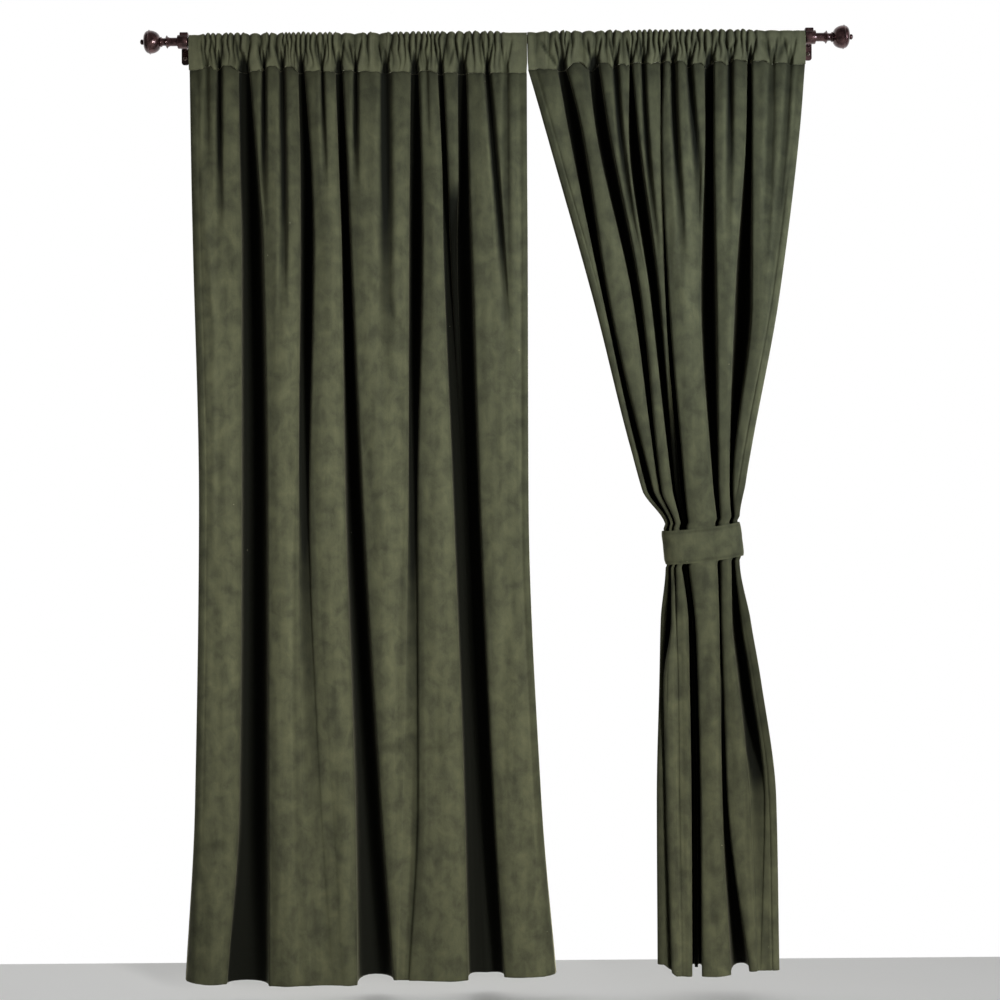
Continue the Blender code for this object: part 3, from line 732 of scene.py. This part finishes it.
def heights(panel):
    """The heights of the cloth's rows, in mm below the rod's axis, from the seam down to the hem."""
    rows = [panel.levels[0]]
    for until, spacing in panel.spacing:
        count = math.ceil((rows[-1] - until) / spacing)
        start = rows[-1]
        rows += [start + (until - start) * (step + 1) / count for step in range(count)]
    return rows


def seam_rise(panel, across):
    """How far the bunching draws the seam up here, in mm, with the slope of the seam along the panel."""
    middle = (panel.folds[0].left[0] + panel.folds[-1].right[0]) / 2
    here = across / MM
    arch = max(rise * math.exp(-(((here - at) / half) ** 4)) for at, half, rise in panel.arches)
    return panel.seam_slope * (here - middle) + arch + 2.5 * waver(here / 17, 0, panel.seed)


def lay_grid(rows, name, materials, replaced):
    """One sheet from rows of (place, painted shading), with its pile side out."""
    shape = bmesh.new()
    bmesh.ops.create_grid(shape, x_segments=len(rows[0]) - 1, y_segments=len(rows) - 1, size=1)
    shape.verts.ensure_lookup_table()
    # Each vertex carries how much shade is painted into the cloth's colour there, and below 0 how much light
    painted_shading = shape.verts.layers.float.new("painted_shading")
    for at, vert in enumerate(shape.verts):
        row, column = divmod(at, len(rows[0]))
        place, depth = rows[row][column]
        vert.co = ROD_MIDDLE + Vector(place)
        vert[painted_shading] = depth
    facing_out(shape)
    lowest = min(shape.faces, key=lambda face: face.calc_center_median().y)
    if lowest.normal.y > 0:
        bmesh.ops.reverse_faces(shape, faces=shape.faces)
    piece = new_piece(name, shape, materials, replaced, 0)
    wall = piece.modifiers.new("thickness", "SOLIDIFY")
    wall.thickness = CLOTH_THICK
    wall.offset = 0
    wall.use_quality_normals = True
    wall.material_offset = 1
    return piece


def hang(panel, name, replaced, row_of=hanging_row, tilt=None):
    """The cloth from the seam to the hem."""
    rows = []
    hem_lifts = lifts(panel)
    fall = panel.levels[-1] - panel.levels[0]
    for z in reversed(heights(panel)):
        share = (z - panel.levels[0]) / fall
        near_seam = max(0, 1 - (panel.levels[0] - z) / SEAM_FOLLOW) ** 2
        row = []
        for (across, depth, painted_shading), lift in zip(row_of(panel, z), hem_lifts):
            height = z + lift * share**4 + seam_rise(panel, across) * near_seam
            if tilt:
                height += tilt(across, z)
            row.append(((across, -depth, height * MM), painted_shading))
        rows.append(row)
    return lay_grid(rows, name, [velvet, ground], replaced)


POCKET_EVERY = 1.5 * MM
# How far a bump of the bunched cloth stands up and out from the rod, and the width from which it does so less
BUMP_TALL = 9 * MM
BUMP_OUT = 9.5 * MM
BUMP_FULL_WIDTH = 16
# Where the cloth isn't bunched it stands off by this share of a bump. Shade is painted into a nip from
# NIP_FROM of the way from a bump's middle on
CALM_WAVE = 0.4
NIP_FROM = 0.4
# How far the bumps wander sideways, in mm, below this height: 1 is the front of the rod and 2 its top
WANDER = 7
WANDER_BELOW = 1.6
POCKET_OUT = 1.5 * MM
POCKET_SLACK = 4 * MM
FLAP_BEHIND = 2.4 * MM
POCKET_PROUD = 1.0 * MM
SEAM_LAP = 1.5 * MM
# How far up the pocket the grooves reach, and how much light is painted over the pocket, as shares
GROOVE_TOP = 0.62
POCKET_PAINTED_LIGHT = 0.16
# The pull creases over the grooves, the most that creases add up to, and how shade is painted into them, in
# mm
PULL_WIDE = 2.6
PULL_DEEP = 6
SLANT_DEEP = 7
SLANT_DARK = 6.5
SLANT_SHADE = 0.85
# The pocket's rows: shares of its height in front, degrees over the rod, and shares of its height behind
FRONT_ROWS = (0, 0.04, 0.1, 0.17, 0.25, 0.33, 0.42, 0.51, 0.6, 0.69, 0.78, 0.87, 0.94)
OVER_ROWS = (0, 15, 30, 45, 60, 75, 90, 105, 120, 140, 160, 180)
BACK_ROWS = (0.85, 0.65, 0.45, 0.25, 0.1, 0)


def pocket_grooves(panel):
    """The grooves that run up through the seam into the pocket, as (x, half width, depth), in metres."""
    lean = LEAN * (panel.levels[0] * MM + EYE_BELOW_ROD)
    result = []
    for fold, following in zip(panel.folds, panel.folds[1:]):
        gap = following.left[0] - fold.right[0]
        result.append((fold.right[0] + gap / 2, gap / 2, fold.front[0] - fold.valley[0]))
    for fold in panel.folds:
        for dip in fold.dips:
            result.append((fold.left[0] + (fold.right[0] - fold.left[0]) * dip.at, dip.wide, dip.deep))
    return sorted((seen * MM + lean, half * MM, deep * MM) for seen, half, deep in result)


def pulls(panel, grooves):
    """The two slanting creases that spread up over each of the grooves like a V, to the bumps on the rod."""
    result = list(panel.slants)
    low, high = panel.levels[0] + 6, -9
    for x, half, deep in grooves:
        for side in (-1, 1):
            reach = 9 + 6 * waver(x / 0.013, side, panel.seed)
            start = x / MM + side * half / MM * 0.5
            pull = min(PULL_DEEP, deep / MM * 0.4)
            result.append(Crease(start, low, start + side * reach, high, PULL_WIDE, pull))
    return result


def bunching(panel, here):
    """How strongly the pocket is bunched at this place in mm, from 0 to 1."""
    least, (left, left_over), (right, right_over) = panel.calm
    return least + (1 - least) * max(0, min(1, (here - left) / left_over, (right - here) / right_over))


def bunched(panel, across, height):
    """How far a bump of the bunched cloth stands out here, from 0 to 1, and how much shade is painted for its
    nip.
    """
    wander = WANDER * waver(across / 0.022, height * 1.6, panel.seed)
    here = across / MM + wander * max(0, WANDER_BELOW - height)
    after = next((at for at, bump in enumerate(panel.bumps) if bump > here), len(panel.bumps))
    if after in (0, len(panel.bumps)):
        return CALM_WAVE, 0
    # A nip lies half way between two bumps
    nip = (panel.bumps[after - 1] + panel.bumps[after]) / 2
    middle = panel.bumps[after - 1] if here < nip else panel.bumps[after]
    reach = abs(nip - middle)
    share = min(1, abs(here - middle) / reach)
    wide = min(1, BUMP_FULL_WIDTH / (2 * reach))
    varied = 0.9 + 0.5 * waver(middle / 9, 0, panel.seed)
    strength = bunching(panel, across / MM) * wide * varied
    arch = math.cos(math.pi / 2 * share) ** 0.7
    near_nip = max(0, (share - NIP_FROM) / (1 - NIP_FROM))
    return CALM_WAVE + strength * (arch - CALM_WAVE), strength * near_nip


def sunk_by(grooves, across, height):
    """How far the grooves draw the pocket in here, narrower and shallower the higher they run."""
    narrow = 1 - height / GROOVE_TOP
    if narrow <= 0:
        return 0
    sunk = 0
    for x, half, deep in grooves:
        pull = 5 * MM * height * waver(x / 0.03, height, 3)
        off = abs(across - x - pull) / (half * max(0.2, narrow**0.6))
        if off < 2:
            sunk = max(sunk, deep * narrow**0.7 * math.exp(-(off**4)))
    return sunk


def pocket(panel, name, replaced):
    """The pocket: from the seam up in front, over the rod, and down behind it to the seam again."""
    ends = hanging_row(panel, panel.levels[0])
    start, end = ends[0][0], ends[-1][0]
    count = round((end - start) / POCKET_EVERY)
    grooves = pocket_grooves(panel)
    slants = pulls(panel, grooves)
    ring = ROD_RADIUS + FIT_GAP + CLOTH_THICK / 2
    proud = (panel.folds[0].front[0] + CROWN / 2) * MM + POCKET_PROUD
    steps = [("front", share) for share in FRONT_ROWS] + [("over", angle) for angle in OVER_ROWS]
    steps += [("back", share) for share in BACK_ROWS]
    rows = []
    for part, value in steps:
        height = {"front": value, "over": 1 + value / 90, "back": 4 - value}[part]
        flared = 1 if part == "over" else min(1, value / 0.3)
        first, last = start - panel.flare[0] * MM * flared, end + panel.flare[1] * MM * flared
        row = []
        for column in range(count + 1):
            across = first + (last - first) * column / count
            wave, shade = bunched(panel, across, height)
            if part == "over":
                angle = math.radians(value)
                out = (ring + POCKET_OUT * abs(math.cos(angle)) + BUMP_OUT * wave) * math.cos(angle)
                up = (ring + BUMP_TALL * wave) * math.sin(angle)
            else:
                # The bumps die out towards the seam, and the grooves take their place
                sunk = sunk_by(grooves, across, value)
                ease = value**0.9
                strong = 0.1 + 0.9 * min(1, value / 0.8) ** 1.3
                top = ring + POCKET_OUT + BUMP_OUT * (CALM_WAVE + (wave - CALM_WAVE) * strong)
                seam = panel.levels[0] + seam_rise(panel, across)
                up = seam * MM * (1 - value) - (SEAM_LAP if value == 0 else 0)
                # Shade is painted into the nips and the grooves, and in front into the slanting creases
                shade = max(shade * strong, min(1, sunk / (DARK_GATHER * MM)))
                if part == "front":
                    slanted = min(SLANT_DEEP, creased(slants, across / MM, seam * (1 - value)))
                    shade = max(shade, min(SLANT_SHADE, slanted / SLANT_DARK))
                    out = proud + (top - proud) * ease + POCKET_SLACK * math.sin(math.pi * value) - sunk
                    out += BUMP_OUT * (wave - CALM_WAVE) * strong * (1 - ease) - slanted * MM
                else:
                    low = proud - sunk - FLAP_BEHIND
                    out = low + (-top - low) * ease
            # Light is painted over the whole pocket, under the painted shade
            row.append(((across, -out, up), shade * (1 + POCKET_PAINTED_LIGHT) - POCKET_PAINTED_LIGHT))
        rows.append(row)
    return lay_grid(rows, name, [velvet, ground], replaced)


velvet = cotton_velvet()
ground = velvet_back()
left_fall = hang(LEFT_PANEL, "left_panel_fall", ["left_panel"])
left_pocket = pocket(LEFT_PANEL, "left_panel_pocket", ["left_panel"])


# The right panel is cut and sewn like the left one. A band round it halfway down draws its seven folds
# together and to the right, so that its inner edge sweeps across in a long curve and the cloth spreads again
# below.
TIE_LEVEL = -1142
TIE_CENTRE = Vector((457.2 * MM, 0, TIE_LEVEL * MM))
TIE_HALF_WIDTH = 87 * MM
TIE_HALF_DEPTH = 38 * MM
TIE_ROUNDNESS = 2.5
TIE_TILT = math.radians(6.4)
# The cloth keeps its folds alike this far above and below the band's middle, and its rows follow the band's
# tilt as far again as this, in mm
TIE_HOLD = 44
TIE_FOLLOW = 160
TIE_EASE = 1.0 * MM
RIGHT_PANEL = Panel(
    levels=(-66, -204, -588, -1018, -1142, -1312, -1450, -1718, -2104),
    folds=(
        Fold(
            left=(64, 102, 210, 323, 375, 364, 361, 355, 357),
            right=(129, 153, 231, 332, 382, 375, 366, 371, 384),
            front=(9, 22, 42, 20, 8, 8, 26, 50, 46), valley=(-13, -28, -43, -43, -33, -30, 22, 46, 42),
            lift=22,
        ),
        Fold(
            left=(150, 185, 246, 348, 387, 388, 371, 376, 389),
            right=(199, 215, 298, 359, 392, 396, 396, 400, 409),
            front=(9, 25, 44, 30, 22, 40, 54, 65, 66), valley=(-13, -28, -20, -20, -34, 38, 53, 64, 65),
        ),
        Fold(
            left=(224, 246, 319, 366, 398, 400, 404, 407, 414),
            right=(292, 290, 339, 389, 409, 425, 428, 432, 434),
            front=(9, 25, 44, 40, 30, 43, 56, 66, 66), valley=(-13, -32, -43, -43, -35, -41, -42, -43, -43),
            dips=(Dip(0.53, 0.6, 16, 6, -560),),
        ),
        Fold(
            left=(299, 312, 362, 398, 416, 431, 435, 440, 441),
            right=(361, 364, 373, 407, 419, 434, 439, 445, 447),
            front=(9, 20, 34, 5, -5, -10, -11, -12, -15),
            valley=(-9, -12, -10, -43, -35, -41, -42, -43, -43),
            dips=(Dip(0.39, 0.2, 18, 5, -520),),
        ),
        Fold(
            left=(371, 366, 382, 418, 427, 442, 448, 454, 457),
            right=(461, 463, 454, 481, 490, 495, 497, 502, 522),
            front=(9, 25, 44, 42, 36, 52, 58, 66, 66), valley=(-13, -34, -43, -20, -30, -20, 36, 8, -38),
            dips=(Dip(0.22, 0.5, 18, 6, -560), Dip(0.62, 0.95, 20, 6, -440)),
        ),
        Fold(
            left=(484, 484, 490, 495, 499, 501, 506, 515, 564),
            right=(558, 556, 531, 518, 522, 524, 538, 565, 581),
            front=(9, 25, 44, 40, 30, 46, 50, 52, 44), valley=(-13, -32, -43, -40, -32, -43, -43, 33, 38),
            lift=5,
            dips=(Dip(0.48, 0.5, 14, 6, -480),),
        ),
        Fold(
            left=(570, 570, 570, 527, 531, 545, 567, 599, 590),
            right=(689, 678, 631, 554, 541, 565, 589, 624, 631),
            front=(9, 20, 36, 28, 10, 20, 25, 44, 40),
            lift=6,
            dips=(Dip(0.36, 0.4, 8, 7, -560), Dip(0.70, 0.7, 8, 7, -640)),
        ),
    ),
    turn=(8, 8, 8, 4, 3, 4, 5, 6, 6),
    drop=(3, 5, 8, 6, 3, 5, 6, 8, 8),
    hem_shades=(0.4, 0.0),
    ripples=(1.0, 1.0),
    flare=(1.4, 0),
    calm=(0.15, (56, 50), (667, 120)),
    spacing=((-105, 5), (-330, 10), (-990, 17), (-1310, 10), (-2005, 17), (-2104, 6)),
    creases=(
        Crease(380, -1863, 500, -1866, 9, 3),
        Crease(380, -1978, 510, -1975, 9, 3),
        Crease(400, -480, 450, -520, 8, 2.5),
        Crease(590, -300, 650, -420, 9, 2.5),
        Crease(520, -700, 600, -640, 9, 2.5),
    ),
    bumps=(
        70, 108, 133, 151, 158, 179, 208, 235, 255, 271, 296, 310, 323, 334, 346, 359, 371, 382, 398, 409,
        418, 434, 445, 461, 475, 493, 508, 527, 545, 556, 572, 590, 622, 655, 684,
    ),
    arches=(
        (182, 18, 14), (240, 16, 12), (280, 14, 8), (320, 30, 12), (375, 30, 13), (410, 16, 13),
        (452, 14, 8), (497, 16, 11), (545, 22, 13), (590, 24, 11), (640, 20, 4),
    ),
    slants=(
        Crease(100, -14, 136, -64, 3.5, 4),
        Crease(196, -18, 212, -44, 3.5, 3),
        Crease(330, -14, 318, -50, 3, 3),
        Crease(512, -12, 524, -34, 3, 3),
        Crease(540, -12, 524, -34, 3, 3),
        Crease(599, -12, 619, -50, 6, 3),
        Crease(651, -12, 628, -58, 6, 3),
    ),
    seam_slope=0.012,
    seed=11.0,
)


def girdle(across):
    """Half the depth that the band leaves to the cloth at this distance from its middle."""
    share = min(1, abs(across) / TIE_HALF_WIDTH)
    return TIE_HALF_DEPTH * (1 - share**TIE_ROUNDNESS) ** (1 / TIE_ROUNDNESS)


def held(z):
    """The height whose folds the cloth has at z: the band holds them alike along its own height."""
    at = RIGHT_PANEL.levels.index(TIE_LEVEL)
    above, below = RIGHT_PANEL.levels[at - 1], RIGHT_PANEL.levels[at + 1]
    if not below < z < above:
        return z
    if abs(z - TIE_LEVEL) <= TIE_HOLD:
        return TIE_LEVEL
    edge = TIE_LEVEL + math.copysign(TIE_HOLD, z - TIE_LEVEL)
    far = above if z > TIE_LEVEL else below
    return TIE_LEVEL + (far - TIE_LEVEL) * (z - edge) / (far - edge)


def tied_row(panel, z):
    """One row of the tied cloth: its folds as at held(z), kept inside the band along the band's height."""
    row = hanging_row(panel, held(z))
    lean_by = LEAN * (z - held(z)) * MM
    if abs(z - TIE_LEVEL) > TIE_HOLD:
        return [(x + lean_by * (1 - depth / EYE_DISTANCE), depth, painted_shading) for x, depth, painted_shading in row]
    rise = (z - TIE_LEVEL) * MM
    result = []
    for across, depth, painted_shading in row:
        across += lean_by
        room = max(0, girdle(across - TIE_CENTRE.x) - CLOTH_THICK / 2 - TIE_EASE)
        depth = max(-room, min(room, depth))
        result.append((across - rise * math.tan(TIE_TILT), depth, painted_shading))
    return result


def follow_band(across, z):
    """How much higher the cloth's rows lie where they follow the tilted band, in mm."""
    near = max(0, 1 - max(0, abs(z - TIE_LEVEL) - TIE_HOLD) / TIE_FOLLOW)
    return (across - TIE_CENTRE.x) / MM * math.tan(TIE_TILT) * near


right_fall = hang(RIGHT_PANEL, "right_panel_fall", ["right_panel"], tied_row, follow_band)
right_pocket = pocket(RIGHT_PANEL, "right_panel_pocket", ["right_panel"])


# The tie is a flat band of the same velvet, sewn double with its seams inside and topstitched near both
# edges. It is joined at the back of the cloth, and its right side sits a little higher than its left.
TIE_HEIGHT = 76 * MM
TIE_THICK = 2.6 * MM
TIE_SIDES = 160
TIE_ROWS = 14
TIE_BOW = 3 * MM
TIE_EDGE = 2.2 * MM
TIE_INNER_EDGE = 0.6 * MM
# How far from its edges the band is topstitched, and how wide and deep that groove is, into which shade is
# painted
TIE_STITCH = 6 * MM
STITCH_WIDE = 1.6 * MM
STITCH_DEEP = 0.7 * MM
DENT_DEEPEST = 0.6 * MM


def band_line(turned, out):
    """A place on the band's rounded oblong in plan, moved out by this much."""
    wave = [math.copysign(abs(v) ** (2 / TIE_ROUNDNESS), v) for v in (math.cos(turned), math.sin(turned))]
    return (TIE_HALF_WIDTH + out) * wave[0], (TIE_HALF_DEPTH + out) * wave[1]


def band():
    """The band as a closed loop of its outline, which runs up the outside and down the inside."""
    half = TIE_HEIGHT / 2
    outline = []
    for step in range(TIE_ROWS + 1):
        height = -half + TIE_HEIGHT * step / TIE_ROWS
        near_edge = half - abs(height)
        rounding = (1 - min(1, near_edge / TIE_EDGE)) ** 2
        stitch = math.exp(-(((near_edge - TIE_STITCH) / STITCH_WIDE) ** 2))
        # Shade is painted into the stitched groove
        outline.append((height, TIE_THICK * (1 - 0.7 * rounding) - STITCH_DEEP * stitch, 0.3 * stitch))
    outline += [(half - TIE_INNER_EDGE, 0, 0), (0, 0, 0), (-half + TIE_INNER_EDGE, 0, 0)]
    tilt = Matrix.Translation(TIE_CENTRE) @ Matrix.Rotation(-TIE_TILT, 4, "Y")
    shape = bmesh.new()
    # Each vertex carries how much shade is painted into the band's colour there
    painted_shading = shape.verts.layers.float.new("painted_shading")
    loops = []
    for side in range(TIE_SIDES):
        turned = 2 * math.pi * side / TIE_SIDES
        loop = []
        for height, out, dark in outline:
            if out > 0:
                dent = 0.9 * MM * waver(turned * 3.1, height / 0.02, 31)
                dent += 0.5 * MM * waver(turned * 9.0, height / 0.05, 41)
                out += max(-DENT_DEEPEST, dent)
            across, depth = band_line(turned, FIT_GAP + out)
            sag = TIE_BOW * (1 - (across / TIE_HALF_WIDTH) ** 2) if depth < 0 else 0
            vert = shape.verts.new(ROD_MIDDLE + tilt @ Vector((across, depth, height - sag)))
            vert[painted_shading] = dark
            loop.append(vert)
        loops.append(loop)
    for here, following in zip(loops, loops[1:] + loops[:1]):
        for corners in zip(here, here[1:] + here[:1], following[1:] + following[:1], following):
            shape.faces.new(corners)
    return facing_out(shape)


tie = new_piece("tie_band", band(), [velvet], ["tieback"], 50)


# A plain floor lies just under the hems and is no part of the object. It is smooth and painted a pale, nearly
# white grey.
FLOOR_BELOW_ROD = 2.16
FLOOR_WIDE = 6.0
FLOOR_BEHIND = 0.30
FLOOR_BEFORE = 3.2


def pale_floor():
    """Dull floor paint, hardly mottled over about 0.4 m."""
    dull = {"Roughness": 0.8, "Specular IOR Level": 0.2}
    made, tree, shader, place = new_material("pale_floor_paint", dull)
    cloud = add(tree, "TexNoise", {"Scale": 1 / 0.4}, [("Vector", place)])
    greys = {"data_type": "RGBA", 6: colour("F2F2F0"), 7: colour("F8F8F7")}
    tint = add(tree, "Mix", greys, [(0, cloud.outputs["Fac"])])
    tree.links.new(tint.outputs[2], shader.inputs["Base Color"])
    return made


shape = bmesh.new()
bmesh.ops.create_grid(shape, x_segments=2, y_segments=2, size=0.5)
bmesh.ops.scale(shape, vec=(FLOOR_WIDE, FLOOR_BEFORE + FLOOR_BEHIND, 1), verts=shape.verts)
floor_y = ROD_MIDDLE.y + (FLOOR_BEHIND - FLOOR_BEFORE) / 2
bmesh.ops.translate(shape, vec=(ROD_MIDDLE.x, floor_y, ROD_MIDDLE.z - FLOOR_BELOW_ROD), verts=shape.verts)
floor_mesh = bpy.data.meshes.new("floor")
shape.to_mesh(floor_mesh)
shape.free()
floor_mesh.materials.append(pale_floor())
floor = bpy.data.objects.new("floor", floor_mesh)
bpy.context.scene.collection.objects.link(floor)


# Three soft lights stand at the right front. The main one is aimed at the left panel, one lights the upper
# right corner, and a low one lights the hems, so that each face is dim at its left and its right edge is
# sharp, and shade painted on the faces' left edges adds to that. The room behind the curtains is white, and
# the side of the eye is dim.
def soft_light(name, place, aim, size, spread, watts, tint=(1, 1, 1)):
    """An area light at a place, turned towards its aim, both measured from the rod's middle."""
    lamp = bpy.data.lights.new(name, "AREA")
    lamp.size = size
    lamp.spread = math.radians(spread)
    lamp.energy = watts
    lamp.color = tint
    obj = bpy.data.objects.new(name, lamp)
    obj.location = ROD_MIDDLE + Vector(place)
    obj.rotation_euler = (Vector(aim) - Vector(place)).to_track_quat("-Z", "Y").to_euler()
    bpy.context.scene.collection.objects.link(obj)


soft_light("soft_main", (2.0, -4.2, -1.0), (-0.95, 0, -1.02), 1.0, 38, 15.0)
soft_light("soft_right", (2.9, -2.7, -0.6), (0.7, 0, -0.42), 0.8, 38, 9.0, (0.92, 1.0, 1.12))
soft_light("soft_low", (2.2, -3.4, -1.9), (0.45, 0, -2.25), 0.7, 38, 8.0)

world = bpy.data.worlds.new("white_room")
world.use_nodes = True
bpy.context.scene.world = world
sky = world.node_tree.nodes["Background"]
toward = add(world.node_tree, "TexCoord", {}).outputs["Generated"]
split = add(world.node_tree, "SeparateXYZ", {}, [("Vector", toward)])
dim_to_white = {"From Min": 0.0, "From Max": 0.25, "To Min": 0.1, "To Max": 1.0}
behind = add(world.node_tree, "MapRange", dim_to_white, [("Value", split.outputs["Y"])])
world.node_tree.links.new(behind.outputs[0], sky.inputs["Strength"])
sky.inputs["Color"].default_value = (1, 1, 1, 1)

# The camera stands where the folds are laid out from, level, and turned by the same small lean. At 4 m its
# lens takes in 2.26 m
camera_data = bpy.data.cameras.new("camera")
camera_data.lens = 63.7
camera_data.sensor_width = 36
camera = bpy.data.objects.new("camera", camera_data)
camera.location = ROD_MIDDLE + Vector((0, -EYE_DISTANCE, -EYE_BELOW_ROD))
camera.rotation_euler = (math.radians(90), LEAN, 0)
bpy.context.scene.collection.objects.link(camera)
bpy.context.scene.camera = camera
bpy.context.scene.view_settings.view_transform = "Standard"
